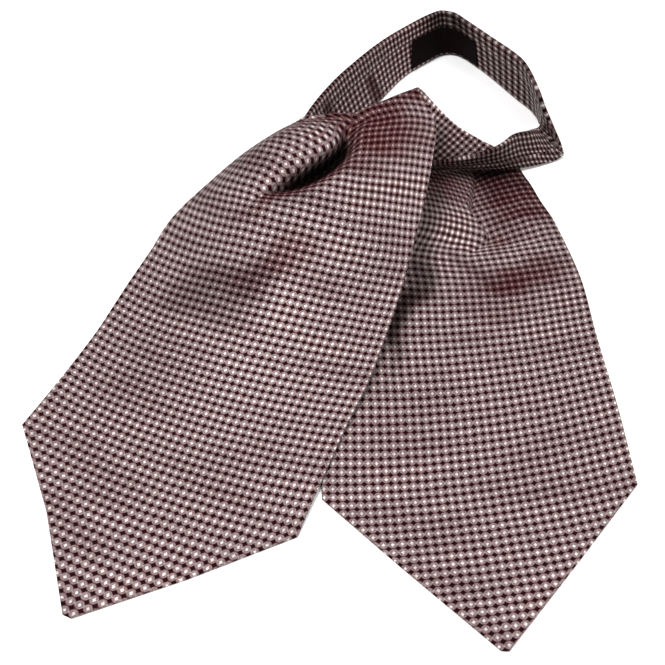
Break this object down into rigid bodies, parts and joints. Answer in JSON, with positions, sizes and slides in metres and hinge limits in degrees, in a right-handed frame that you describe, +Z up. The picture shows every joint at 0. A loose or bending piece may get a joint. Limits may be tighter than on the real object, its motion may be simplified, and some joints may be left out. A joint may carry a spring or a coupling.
{
  "type": "day cravat",
  "caption": "Patterned silk day cravat laid flat as if tied, with two wide pointed blades, a pleated neckband loop and a dark sewn label.",
  "frame": {"origin": "middle of the cravat's outline on the table, under it", "axes": "+Z up from the table, +Y from the blade points towards the back of the neck loop, +X to the viewer's right"},
  "size_m": [0.2996, 0.4194, 0.0569],
  "materials": {
    "silk": "satin",
    "label": "satin"
  },
  "bodies": {
    "root": {"left_blade": "silk", "right_blade": "silk", "neckband_left": "silk", "neckband_right": "silk", "neckband_front": "silk", "label": "label"}
  },
  "joints": []
}
